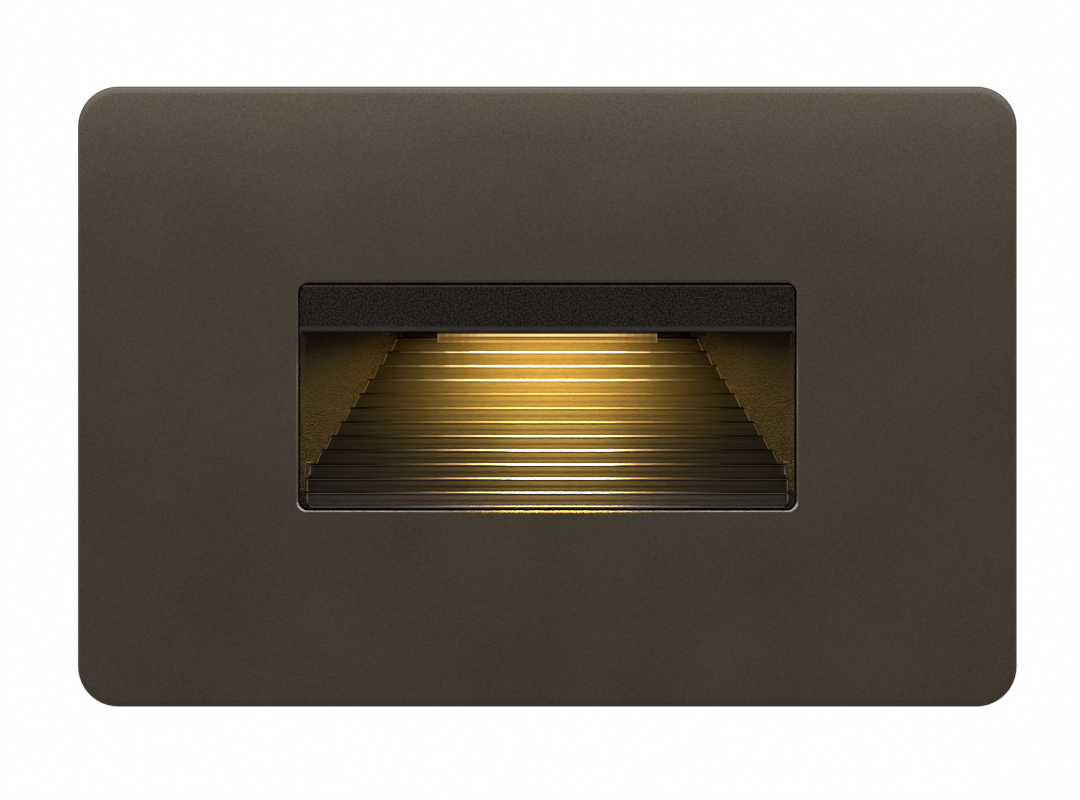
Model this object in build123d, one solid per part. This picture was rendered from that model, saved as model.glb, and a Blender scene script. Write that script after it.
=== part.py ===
from build123d import *
from math import cos, radians, sin, tan
import os

# A low, wide step light for a single-gang wall box, in millimetres.
# Seen on its wall, X runs to the right, Z runs up and Y runs into the wall.
# The origin is on the wall's surface, behind the middle of the face plate.

# Face plate
plate_width = 114.3
plate_height = 75.5
plate_depth = 7.6
plate_corner_radius = 4.9
plate_front_thickness = 2.4
plate_rim_thickness = 2.2
plate_front_edge_radius = 0.9
opening_width = 60.7
opening_height = 27.8
opening_corner_radius = 1.3
opening_edge_chamfer = 0.25
well_pad_thickness = 1.4
weep_notch_width = 5.0
weep_notch_height = 1.2
weep_notch_offset = 14.0

# Mounting strap and what fixes it to the wall box
box_screw_spacing = 83.3
wall_gasket_thickness = 1.0
strap_thickness = 1.5
strap_side_gap = 2.95
strap_corner_radius = 3.0
strap_bend_radius = 1.2
window_side_gap = 1.0
window_top_gap = 4.5
window_corner_radius = 3.0
tab_width = 14.0
tab_offset = 30.0
tab_front_gap = 0.3
slot_length = 8.6
slot_width = 4.4
box_screw_thread_radius = 1.75
box_screw_neck_radius = 1.55
box_screw_reach = 14.0
box_screw_head_radius = 3.4
box_screw_head_height = 1.9
ground_screw_radius = 2.4
ground_screw_head_radius = 4.0
ground_screw_head_height = 1.7
ground_screw_height = 18.0
ground_screw_tip_gap = 0.1

# Clamping of the face plate on the strap's tabs
seat_pad_height = 2.35
seat_pad_width = 9.0
tab_gap = 0.15
set_screw_radius = 1.5
set_screw_recess = 0.6
set_screw_tip_gap = 0.1
set_screw_boss_height = 1.6
set_screw_boss_width = 6.4
set_screw_socket_radius = 0.75
set_screw_socket_depth = 1.4
set_screw_cup_depth = 0.3
clamp_back_gap = 1.2

# Light well: hood, rim, splayed side walls and sloping floor
well_recess = 0.35
well_gap = 0.15
well_rim_thickness = 0.7
well_rim_flat = 0.15
well_edge_radius = 0.2
well_gasket_thickness = 0.6
well_flange_thickness = 1.6
flange_side_margin = 5.15
flange_top_margin = 4.6
flange_corner_radius = 2.5
hood_height = 5.83
hood_thickness = 1.6
hood_edge_radius = 0.3
hood_roof_thickness = 1.5
ceiling_thickness = 1.5
splay_start_depth = 4.66
splay_angle = 33.4
side_wall_thickness = 1.6
floor_thickness = 1.6
well_back_thickness = 1.0
well_screw_side_inset = 2.3
well_screw_height = 10.5
well_screw_bite = 2.6
post_radius = 2.4
post_side_inset = 2.6
post_chamber_gap = 0.4
post_top_inset = 4.7
post_back_gap = 0.2
web_thickness = 1.6
web_start = 4.0

# Ribbed reflector
rib_pitch = 1.72
ramp_angle = 45.0
rib_tread_share = 0.30
rib_nose_radius = 0.55
first_nose_radius = 0.22
nose_recess = 0.35
reflector_bottom_gap = 0.25
reflector_lip_height = 0.35
reflector_thickness = 1.2
reflector_end_gap = 0.15
reflector_splay_gap = 0.1
reflector_seat_gap = 0.1
reflector_corner_radius = 1.1
reflector_step_rib = 3
reflector_step_taper = 0.4
reflector_boss_radius = 2.0
reflector_boss_height = 0.8
reflector_boss_gap = 0.1
reflector_screw_offset = 11.0
reflector_screw_rib = 6
reflector_screw_bite = 0.6

# Light engine above the well
lens_width = 26.8
lens_depth = 8.0
lens_drop = 1.3
lens_window_gap = 0.15
lens_edge_radius = 0.3
lens_flange_width = 34.4
lens_flange_thickness = 1.2
lens_flange_gap = 0.15
lens_gasket_thickness = 0.5
chamber_width = 44.4
chamber_depth = 10.6
chamber_wall = 1.5
led_air_gap = 0.78
chip_thickness = 0.7
chip_width = 2.8
chip_depth = 3.5
chip_pitch = 4.0
chip_count = 6
led_board_width = 31.0
led_board_depth = 8.0
led_board_thickness = 1.0
led_board_corner_radius = 0.8
led_board_screw_offset = 13.6
led_board_screw_bite = 1.6
thermal_pad_thickness = 0.5
heat_sink_thickness = 2.0
heat_sink_front_gap = 0.2
heat_sink_foot_gap = 0.3
heat_sink_foot_margin = 1.6
heat_sink_boss_radius = 1.9
heat_sink_boss_inset = 2.1
heat_sink_screw_bite = 3.0
fin_height = 2.6
fin_thickness = 1.2
fin_pitch = 4.0
fin_count = 9

# Driver housing and its cover
housing_height = 41.0
housing_depth = 22.0
housing_wall = 1.8
housing_corner_radius = 3.0
housing_screw_bite = 5.0
cover_gasket_thickness = 0.6
cover_thickness = 1.8
cover_edge_radius = 0.6
cover_boss_radius = 1.8
cover_boss_side_inset = 1.9
cover_boss_height = 5.5
cover_screw_bite = 5.0
grommet_radius = 2.7
grommet_flange_radius = 3.3
grommet_flange_thickness = 0.8
grommet_bore_radius = 1.9
grommet_gap = 0.05
bushing_offset = 18.0
bushing_bore_radius = 3.2
bushing_barrel_radius = 4.6
bushing_flange_radius = 6.5
bushing_flange_thickness = 2.0
bushing_inner_reach = 2.6
bushing_gap = 0.05

# Driver board and its components
board_width = 50.0
board_height = 22.0
board_thickness = 1.6
board_side_gap = 0.5
board_standoff_height = 3.5
board_standoff_radius = 2.2
board_screw_side_inset = 2.2
board_screw_top_inset = 2.2
board_screw_bite = 3.0
transformer_width = 14.0
transformer_height = 14.0
transformer_depth = 12.0
transformer_leg = 3.0
transformer_center_leg = 4.4
winding_gap = 0.1
winding_bulge = 1.3
bulk_capacitor_radius = 4.0
bulk_capacitor_height = 12.5
bulk_capacitor_crimp = 0.4
film_capacitor_width = 9.0
film_capacitor_height = 5.0
film_capacitor_depth = 8.0
fuse_radius = 1.5
fuse_cap_radius = 1.7
fuse_cap_length = 1.8
fuse_length = 9.0
rectifier_edge_gap = 0.5
rectifier_width = 5.0
rectifier_height = 4.2
rectifier_depth = 2.6
chip_package_width = 4.0
chip_package_height = 10.0
chip_package_depth = 8.5
varistor_radius = 3.2
varistor_thickness = 2.6
terminal_width = 7.6
terminal_height = 10.0
terminal_depth = 9.0
terminal_hole_radius = 1.4
terminal_hole_depth = 5.0
connector_width = 6.0
connector_height = 6.0
connector_depth = 6.2
connector_bottom = -2.0

# LED leads
lead_radius = 0.6
lead_spacing = 2.2
lead_solder_length = 1.2
lead_notch_margin = 0.7
lead_rise_start = 1.0
lead_rise_end = 2.0

# Small screws, and the gaps of holes and threads
m2_radius = 1.0
m2_head_radius = 1.8
m2_head_height = 1.1
m25_radius = 1.25
m25_head_radius = 2.1
m25_head_height = 1.4
recess_width = 0.45
recess_depth = 0.5
head_edge_radius = 0.35
thread_gap = 0.05
hole_gap = 0.2
cut_past = 1.0

# Places along Y, from the front of the plate to the back of the cover
plate_front_y = -plate_depth
plate_wall_back_y = plate_front_y + plate_front_thickness
pad_back_y = plate_wall_back_y + well_pad_thickness
flange_front_y = pad_back_y + well_gasket_thickness
flange_back_y = flange_front_y + well_flange_thickness
well_front_y = plate_front_y + well_recess
hood_back_y = well_front_y + hood_thickness
strap_back_y = -wall_gasket_thickness
strap_front_y = strap_back_y - strap_thickness
tab_front_y = plate_wall_back_y + tab_front_gap
clamp_y = (tab_front_y + strap_front_y) / 2
clamp_back_y = -clamp_back_gap
splay_start_y = plate_front_y + splay_start_depth

# Half sizes and heights of the face plate, strap and flange
plate_half_height = plate_height / 2
plate_inner_width = plate_width - 2 * plate_rim_thickness
plate_inner_height = plate_height - 2 * plate_rim_thickness
plate_inner_radius = max(plate_corner_radius - plate_rim_thickness, 0.5)
rim_inner_z = plate_inner_height / 2
tab_outer_z = rim_inner_z - seat_pad_height - tab_gap
flange_width = opening_width + 2 * flange_side_margin
flange_height = opening_height + 2 * flange_top_margin
window_width = flange_width + 2 * window_side_gap
window_height = flange_height + 2 * window_top_gap
strap_width = plate_inner_width - 2 * strap_side_gap
strap_height = 2 * tab_outer_z
ground_screw_x = -(strap_width + window_width) / 4

# The light well's rim, hood and cavity
rim_half_width = opening_width / 2 - well_gap
rim_half_height = opening_height / 2 - well_gap
rim_corner_radius = max(opening_corner_radius - well_gap, 0.3)
cavity_half_width = rim_half_width - well_rim_thickness
hood_bottom_z = rim_half_height - hood_height
ceiling_top_z = hood_bottom_z + ceiling_thickness
splay_rate = tan(radians(splay_angle))
side_wall_across = side_wall_thickness / cos(radians(splay_angle))
well_screw_x = flange_width / 2 - well_screw_side_inset

# The ramp of ribs climbs along Y and Z, and its depth is measured square to it, into the floor
rib_run = rib_pitch / tan(radians(ramp_angle))
rib_tread = rib_run * rib_tread_share
reflector_bottom_z = -opening_height / 2 + reflector_bottom_gap
first_nose_y = well_front_y + nose_recess
first_nose_z = reflector_bottom_z + reflector_lip_height
valley_depth = rib_tread * sin(radians(ramp_angle))
reflector_back_depth = valley_depth + reflector_thickness
floor_depth = reflector_back_depth + reflector_seat_gap
floor_back_depth = floor_depth + floor_thickness
reflector_top_z = hood_bottom_z - reflector_seat_gap
rib_count = int((reflector_top_z - first_nose_z) / rib_pitch) + 1
reflector_half_width = cavity_half_width - reflector_end_gap


def ramp_y(z, depth):
    # Where a plane that lies this deep under the rib noses crosses the height z
    return first_nose_y + (z - first_nose_z) / tan(radians(ramp_angle)) + depth / sin(radians(ramp_angle))


def ramp_point(rib, depth):
    # The place, in Y and Z, this deep under the nose of a rib
    angle = radians(ramp_angle)
    nose_y = first_nose_y + rib * rib_run
    nose_z = first_nose_z + rib * rib_pitch
    return nose_y + depth * sin(angle), nose_z - depth * cos(angle)


cavity_back_y = ramp_y(hood_bottom_z, floor_depth)
well_back_y = cavity_back_y + well_back_thickness
post_end_y = well_back_y + post_back_gap

# The light engine, stacked upwards from the well's ceiling
chamber_front_y = flange_back_y
chamber_back_y = chamber_front_y + chamber_depth
led_y = (chamber_front_y + chamber_back_y) / 2
lens_bottom_z = hood_bottom_z - lens_drop
lens_seat_z = ceiling_top_z + lens_gasket_thickness
lens_top_z = lens_seat_z + lens_flange_thickness
chip_bottom_z = lens_top_z + led_air_gap
led_board_bottom_z = chip_bottom_z + chip_thickness
led_board_top_z = led_board_bottom_z + led_board_thickness
heat_sink_bottom_z = led_board_top_z + thermal_pad_thickness
heat_sink_top_z = heat_sink_bottom_z + heat_sink_thickness
lens_flange_depth = chamber_depth - 2 * lens_flange_gap
chamber_outer_width = chamber_width + 2 * chamber_wall
heat_sink_boss_x = chamber_width / 2 - heat_sink_boss_inset
heat_sink_boss_front_y = chamber_front_y + heat_sink_boss_inset
heat_sink_boss_back_y = chamber_back_y - heat_sink_boss_inset

# The driver housing, behind the posts of the well
housing_front_y = post_end_y
housing_floor_y = housing_front_y + housing_wall
housing_back_y = housing_front_y + housing_depth
cover_front_y = housing_back_y + cover_gasket_thickness
cover_back_y = cover_front_y + cover_thickness
room_for_board = board_width / 2 + board_side_gap + cover_boss_radius + cover_boss_side_inset
room_for_posts = chamber_outer_width / 2 + post_chamber_gap + post_radius + post_side_inset
housing_inner_width = 2 * max(room_for_board, room_for_posts)
housing_width = housing_inner_width + 2 * housing_wall
housing_inner_height = housing_height - 2 * housing_wall
housing_inner_radius = max(housing_corner_radius - housing_wall, 0.5)
board_front_y = housing_floor_y + board_standoff_height
board_back_y = board_front_y + board_thickness
post_side = housing_inner_width / 2 - post_side_inset
post_height = housing_inner_height / 2 - post_top_inset
cover_boss_x = housing_inner_width / 2 - cover_boss_side_inset
board_screw_x = board_width / 2 - board_screw_side_inset
board_screw_z = board_height / 2 - board_screw_top_inset

# Places on the driver board: the output connector is in its middle, and even gaps part the rest
left_room = board_width / 2 - connector_width / 2 - terminal_width - film_capacitor_width
left_gap = left_room / 3
terminal_x = -board_width / 2 + left_gap + terminal_width / 2
column_x = -connector_width / 2 - left_gap - film_capacitor_width / 2
right_gap = (board_width / 2 - connector_width / 2 - transformer_width - chip_package_width) / 3
transformer_x = connector_width / 2 + right_gap + transformer_width / 2
chip_package_x = board_width / 2 - right_gap - chip_package_width / 2
column_gap = (board_height - 2 * bulk_capacitor_radius - 2 * fuse_cap_radius - film_capacitor_height) / 4
bulk_capacitor_z = board_height / 2 - column_gap - bulk_capacitor_radius
fuse_z = bulk_capacitor_z - bulk_capacitor_radius - column_gap - fuse_cap_radius
film_capacitor_z = -board_height / 2 + column_gap + film_capacitor_height / 2
rectifier_x = -(board_screw_x - m2_head_radius - column_x + bulk_capacitor_radius) / 2
rectifier_z = board_height / 2 - rectifier_edge_gap - rectifier_height / 2

# The leads: soldered under the LED board, through the grommet and down into the connector
lead_start_z = led_board_bottom_z - lead_radius
lead_pass_z = max(
    board_height / 2 + lead_notch_margin + 2 * lead_radius, ceiling_top_z + grommet_flange_radius + hole_gap
)
lead_start_y = led_y + led_board_depth / 2 - lead_solder_length
lead_down_y = board_back_y + connector_depth * 0.6
connector_top_z = connector_bottom + connector_height

both = (-1, 1)


def block(x_range, y_range, z_range):
    # A box between two places along each axis
    ranges = (x_range, y_range, z_range)
    middle = [(low + high) / 2 for low, high in ranges]
    size = [high - low for low, high in ranges]
    return Pos(*middle) * Box(*size)


def across(width, middle=0):
    # The two ends of a width that is centred on a place
    return middle - width / 2, middle + width / 2


def slab(width, height, corner, y_from, y_to):
    # A plate parallel to the wall, with rounded corners
    outline = Plane(origin=(0, y_to, 0), x_dir=(1, 0, 0), z_dir=(0, -1, 0)) * RectangleRounded(width, height, corner)
    return extrude(outline, amount=y_to - y_from, dir=(0, -1, 0))


def tile(width, depth, corner, y_middle, z_from, z_to):
    # A level plate with rounded corners
    outline = Pos(0, y_middle, z_from) * RectangleRounded(width, depth, corner)
    return extrude(outline, amount=z_to - z_from, dir=(0, 0, 1))


def side_prism(points, half_width):
    # An outline of places in Y and Z, drawn out along X
    outline = Plane(origin=(-half_width, 0, 0), x_dir=(0, 1, 0), z_dir=(1, 0, 0)) * Polygon(*points, align=None)
    return extrude(outline, amount=2 * half_width, dir=(1, 0, 0))


def plan_prism(points, z_from, z_to):
    # An outline of places in X and Y, drawn out along Z
    outline = Pos(0, 0, z_from) * Polygon(*points, align=None)
    return extrude(outline, amount=z_to - z_from, dir=(0, 0, 1))


def rod(radius, start, end):
    # A round bar between two points
    axis = Vector(*end) - Vector(*start)
    ends = (Align.CENTER, Align.CENTER, Align.MIN)
    return Plane(origin=start, z_dir=axis) * Cylinder(radius, axis.length, align=ends)


def pan_screw(seat, thread_way, thread_radius, thread_length, head_radius, head_height):
    # A screw with its head's underside at seat and its thread running thread_way
    ends_up = (Align.CENTER, Align.CENTER, Align.MIN)
    ends_down = (Align.CENTER, Align.CENTER, Align.MAX)
    head = Cylinder(head_radius, head_height, align=ends_up)
    head = fillet(head.edges().sort_by(Axis.Z)[-1:], head_edge_radius)
    slot = Box(recess_width, head_radius, 2 * recess_depth)
    head -= Pos(0, 0, head_height) * slot
    head -= Pos(0, 0, head_height) * Rot(0, 0, 90) * slot
    screw = head + Cylinder(thread_radius, thread_length, align=ends_down)
    return Plane(origin=seat, z_dir=-Vector(*thread_way)) * screw


def m2_screw(seat, thread_way, thread_length):
    return pan_screw(seat, thread_way, m2_radius, thread_length, m2_head_radius, m2_head_height)


def m25_screw(seat, thread_way, thread_length):
    return pan_screw(seat, thread_way, m25_radius, thread_length, m25_head_radius, m25_head_height)


def splay_half_width(y, beyond=0):
    # Half the cavity's width where its side walls lean in
    return cavity_half_width + beyond - splay_rate * (y - splay_start_y)


# Face plate, strap and clamping

def make_face_plate():
    plate = slab(plate_width, plate_height, plate_corner_radius, plate_front_y, 0)
    plate = fillet(plate.faces().sort_by(Axis.Y)[0].edges(), plate_front_edge_radius)
    plate -= slab(plate_inner_width, plate_inner_height, plate_inner_radius, plate_wall_back_y, cut_past)
    plate += slab(flange_width, flange_height, flange_corner_radius, plate_wall_back_y, pad_back_y)
    plate -= slab(
        opening_width, opening_height, opening_corner_radius, plate_front_y - cut_past, pad_back_y + cut_past
    )
    front_face = plate.faces().sort_by(Axis.Y)[0]
    plate = chamfer(front_face.inner_wires()[0].edges(), opening_edge_chamfer)
    clamp_depth = (plate_wall_back_y, clamp_back_y)
    for side in both:
        x = side * tab_offset
        plate += block(across(seat_pad_width, x), clamp_depth, (rim_inner_z - seat_pad_height, rim_inner_z))
        boss_top_z = -rim_inner_z + set_screw_boss_height
        plate += block(across(set_screw_boss_width, x), clamp_depth, (-rim_inner_z, boss_top_z))
        plate -= rod(
            set_screw_radius + thread_gap,
            (x, clamp_y, -plate_half_height - cut_past),
            (x, clamp_y, boss_top_z + cut_past),
        )
        notch_x = across(weep_notch_width, side * weep_notch_offset)
        plate -= block(
            notch_x, (-weep_notch_height, cut_past), (-plate_half_height - cut_past, -rim_inner_z + cut_past)
        )
    for x, z in well_screw_places():
        plate -= rod(m2_radius + thread_gap, (x, pad_back_y + cut_past, z), (x, pad_back_y - well_screw_bite, z))
    return plate


def well_screw_places():
    return [(side * well_screw_x, level * well_screw_height) for side in both for level in both]


def make_mounting_strap():
    strap = slab(strap_width, strap_height, strap_corner_radius, strap_front_y, strap_back_y)
    for side in both:
        for level in both:
            tab_z = sorted((level * tab_outer_z, level * (tab_outer_z - strap_thickness)))
            strap += block(across(tab_width, side * tab_offset), (tab_front_y, strap_back_y), tab_z)
    bends = strap.edges().filter_by(Axis.X).filter_by(
        lambda edge: abs(edge.center().Y - strap_back_y) < 0.01
        and abs(abs(edge.center().Z) - tab_outer_z) < 0.01
    )
    strap = fillet(bends, strap_bend_radius)
    strap -= slab(window_width, window_height, window_corner_radius, tab_front_y, cut_past)
    for side in both:
        slot = Pos(side * box_screw_spacing / 2, 0, 0) * Rot(90, 0, 0) * SlotOverall(slot_length, slot_width)
        strap -= extrude(slot, amount=strap_thickness + wall_gasket_thickness + cut_past, both=True)
    strap -= rod(
        ground_screw_radius + thread_gap,
        (ground_screw_x, tab_front_y, ground_screw_height),
        (ground_screw_x, cut_past, ground_screw_height),
    )
    return strap


def make_wall_gasket():
    gasket = slab(strap_width, strap_height, strap_corner_radius, strap_back_y, 0)
    gasket -= slab(window_width, window_height, window_corner_radius, strap_back_y - cut_past, cut_past)
    for side in both:
        slot = Pos(side * box_screw_spacing / 2, 0, 0) * Rot(90, 0, 0) * SlotOverall(slot_length, slot_width)
        gasket -= extrude(slot, amount=wall_gasket_thickness + cut_past, both=True)
    gasket -= rod(
        ground_screw_radius + hole_gap,
        (ground_screw_x, strap_back_y - cut_past, ground_screw_height),
        (ground_screw_x, cut_past, ground_screw_height),
    )
    return gasket


def make_box_screws():
    screws = []
    for side in both:
        x = side * box_screw_spacing / 2
        seat = (x, strap_front_y, 0)
        neck = pan_screw(
            seat, (0, 1, 0), box_screw_neck_radius, -strap_front_y, box_screw_head_radius, box_screw_head_height
        )
        screws.append(neck + rod(box_screw_thread_radius, (x, 0, 0), (x, box_screw_reach, 0)))
    return screws


def make_ground_screw():
    seat = (ground_screw_x, strap_front_y, ground_screw_height)
    thread_length = -strap_front_y - ground_screw_tip_gap
    return pan_screw(
        seat, (0, 1, 0), ground_screw_radius, thread_length, ground_screw_head_radius, ground_screw_head_height
    )


def make_set_screw(side):
    x = side * tab_offset
    outer = (x, clamp_y, -plate_half_height + set_screw_recess)
    tip_z = -tab_outer_z - set_screw_tip_gap
    screw = rod(set_screw_radius, outer, (x, clamp_y, tip_z))
    socket = Pos(*outer) * RegularPolygon(set_screw_socket_radius, 6, major_radius=False)
    screw -= extrude(socket, amount=set_screw_socket_depth)
    cup = Pos(x, clamp_y, tip_z) * Cone(0.01, set_screw_radius / 2, set_screw_cup_depth,
                                        align=(Align.CENTER, Align.CENTER, Align.MAX))
    return screw - cup


# Light well and what is fixed in it

def cavity_shape():
    # The hollow of the light well: straight near the front, then leaning in, over a sloping floor
    front_y = well_front_y - cut_past
    low_z = -rim_half_height - cut_past
    back_half = splay_half_width(cavity_back_y)
    right_side = [(cavity_half_width, front_y), (cavity_half_width, splay_start_y), (back_half, cavity_back_y)]
    left_side = [(-x, y) for x, y in reversed(right_side)]
    hollow = plan_prism(right_side + left_side, low_z, hood_bottom_z)
    step_y, step_z = ramp_point(reflector_step_rib, 0)
    hollow += block(
        across(2 * cavity_half_width),
        (front_y, step_y + reflector_seat_gap),
        (low_z, step_z + reflector_seat_gap),
    )
    above_floor = [
        (front_y, hood_bottom_z),
        (front_y, low_z),
        (ramp_y(low_z, floor_depth), low_z),
        (cavity_back_y, hood_bottom_z),
    ]
    hollow &= side_prism(above_floor, rim_half_width)
    depth = cavity_back_y - front_y
    height = hood_bottom_z - reflector_bottom_z + reflector_seat_gap
    corner = reflector_corner_radius + reflector_seat_gap
    outline = RectangleRounded(2 * cavity_half_width, 2 * height, corner)
    frame = Plane(origin=(0, cavity_back_y, hood_bottom_z), x_dir=(1, 0, 0), z_dir=(0, -1, 0))
    return hollow & extrude(frame * outline, amount=depth, dir=(0, -1, 0))


def make_light_well():
    well = slab(2 * rim_half_width, 2 * rim_half_height, rim_corner_radius, well_front_y, flange_back_y)
    well = fillet(well.faces().sort_by(Axis.Y)[0].edges(), well_edge_radius)
    well += slab(flange_width, flange_height, flange_corner_radius, flange_front_y, flange_back_y)

    # Casing around the cavity, behind the flange
    straight = cavity_half_width + side_wall_thickness
    bend_y = splay_start_y + (side_wall_across - side_wall_thickness) / splay_rate
    back_half = splay_half_width(well_back_y, side_wall_across)
    right_side = [(straight, flange_front_y), (straight, bend_y), (back_half, well_back_y)]
    left_side = [(-x, y) for x, y in reversed(right_side)]
    casing = plan_prism(right_side + left_side, -flange_height / 2, ceiling_top_z)
    low_z = -flange_height / 2
    behind_floor = [
        (flange_front_y, ceiling_top_z),
        (flange_front_y, low_z),
        (max(ramp_y(low_z, floor_back_depth), flange_back_y), low_z),
        (max(ramp_y(low_z, floor_back_depth), flange_back_y), flange_back_floor_z()),
        (well_back_y, min(well_back_floor_z(), hood_bottom_z)),
        (well_back_y, ceiling_top_z),
    ]
    well += casing & side_prism(behind_floor, straight)

    # Chamber for the light engine, open at its top
    chamber_out_y = chamber_back_y + chamber_wall
    well += block(across(chamber_outer_width), (flange_front_y, chamber_out_y), (hood_bottom_z, heat_sink_bottom_z))
    well -= block(
        across(chamber_width), (chamber_front_y, chamber_back_y), (ceiling_top_z, heat_sink_bottom_z + cut_past)
    )
    well -= block(
        across(chamber_width), (hood_back_y, chamber_front_y), (ceiling_top_z, rim_half_height - hood_roof_thickness)
    )
    for x, y in heat_sink_boss_places():
        well += rod(heat_sink_boss_radius, (x, y, ceiling_top_z), (x, y, heat_sink_bottom_z))
        well -= rod(
            m2_radius + thread_gap,
            (x, y, heat_sink_bottom_z + cut_past),
            (x, y, heat_sink_bottom_z - heat_sink_screw_bite),
        )
    notch_width = lead_spacing + 2 * lead_radius + 2 * lead_notch_margin
    well -= block(
        across(notch_width),
        (chamber_back_y - cut_past, chamber_out_y + cut_past),
        (lead_start_z - lead_radius - lead_notch_margin, heat_sink_bottom_z + cut_past),
    )

    # Posts and webs that carry the driver housing
    for side in both:
        web_x = sorted((side * (post_side - web_thickness / 2), side * (post_side + web_thickness / 2)))
        well += block(web_x, (web_start, post_end_y), (-post_height, post_height))
        for level in both:
            x = side * post_side
            z = level * post_height
            well += rod(post_radius, (x, flange_back_y, z), (x, post_end_y, z))
            well -= rod(m25_radius + thread_gap, (x, post_end_y + cut_past, z), (x, post_end_y - housing_screw_bite, z))

    # The cavity, the bevel along the rim's sides, and the lens window
    well -= cavity_shape()
    bevel = rim_half_width - well_rim_flat - cavity_half_width
    for side in both:
        corner_points = [
            (side * cavity_half_width, well_front_y - cut_past),
            (side * (cavity_half_width + bevel), well_front_y - cut_past),
            (side * (cavity_half_width + bevel), well_front_y),
            (side * cavity_half_width, well_front_y + bevel / splay_rate),
        ]
        bevel_low_z = reflector_bottom_z + 2 * reflector_corner_radius
        well -= plan_prism(corner_points, bevel_low_z, hood_bottom_z)
    # The hood's lower front edge is rounded
    hood_edge_y = well_front_y + hood_edge_radius
    hood_edge_z = hood_bottom_z + hood_edge_radius
    edge_half = cavity_half_width + bevel
    edge_corner = block(across(2 * edge_half), (well_front_y - cut_past, hood_edge_y), (hood_bottom_z, hood_edge_z))
    well -= edge_corner - rod(
        hood_edge_radius, (-edge_half, hood_edge_y, hood_edge_z), (edge_half, hood_edge_y, hood_edge_z)
    )
    window_width_x = lens_width + 2 * lens_window_gap
    window_depth_y = lens_depth + 2 * lens_window_gap
    well -= block(
        across(window_width_x),
        across(window_depth_y, led_y),
        (hood_bottom_z - cut_past, ceiling_top_z + cut_past),
    )

    # Holes for the reflector's bosses and screws, and for the flange screws
    for side in both:
        x = side * reflector_screw_offset
        start_y, start_z = ramp_point(reflector_screw_rib, reflector_back_depth)
        seat_y, seat_z = ramp_point(reflector_screw_rib, reflector_boss_floor_depth())
        end_y, end_z = ramp_point(reflector_screw_rib, floor_back_depth + cut_past)
        well -= rod(reflector_boss_radius + reflector_boss_gap, (x, start_y, start_z), (x, seat_y, seat_z))
        well -= rod(m2_radius + hole_gap, (x, start_y, start_z), (x, end_y, end_z))
    for x, z in well_screw_places():
        well -= rod(m2_radius + hole_gap, (x, flange_front_y - cut_past, z), (x, flange_back_y + cut_past, z))
    return well


def flange_back_floor_z():
    # Height of the floor's outer face where it leaves the flange
    low_z = -flange_height / 2
    y = max(ramp_y(low_z, floor_back_depth), flange_back_y)
    return low_z + (y - ramp_y(low_z, floor_back_depth)) * tan(radians(ramp_angle))


def well_back_floor_z():
    # Height of the floor's outer face at the back of the well
    low_z = -flange_height / 2
    return low_z + (well_back_y - ramp_y(low_z, floor_back_depth)) * tan(radians(ramp_angle))


def reflector_boss_floor_depth():
    return reflector_back_depth + reflector_boss_height + reflector_boss_gap


def heat_sink_boss_places():
    return [(side * heat_sink_boss_x, y) for side in both for y in (heat_sink_boss_front_y, heat_sink_boss_back_y)]


def make_well_gasket():
    gasket = slab(flange_width, flange_height, flange_corner_radius, pad_back_y, flange_front_y)
    gasket -= slab(
        opening_width, opening_height, opening_corner_radius, pad_back_y - cut_past, flange_front_y + cut_past
    )
    for x, z in well_screw_places():
        gasket -= rod(m2_radius + hole_gap, (x, pad_back_y - cut_past, z), (x, flange_front_y + cut_past, z))
    return gasket


def make_well_screws():
    thread_length = flange_back_y - pad_back_y + well_screw_bite - thread_gap
    return [m2_screw((x, flange_back_y, z), (0, -1, 0), thread_length) for x, z in well_screw_places()]


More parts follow.
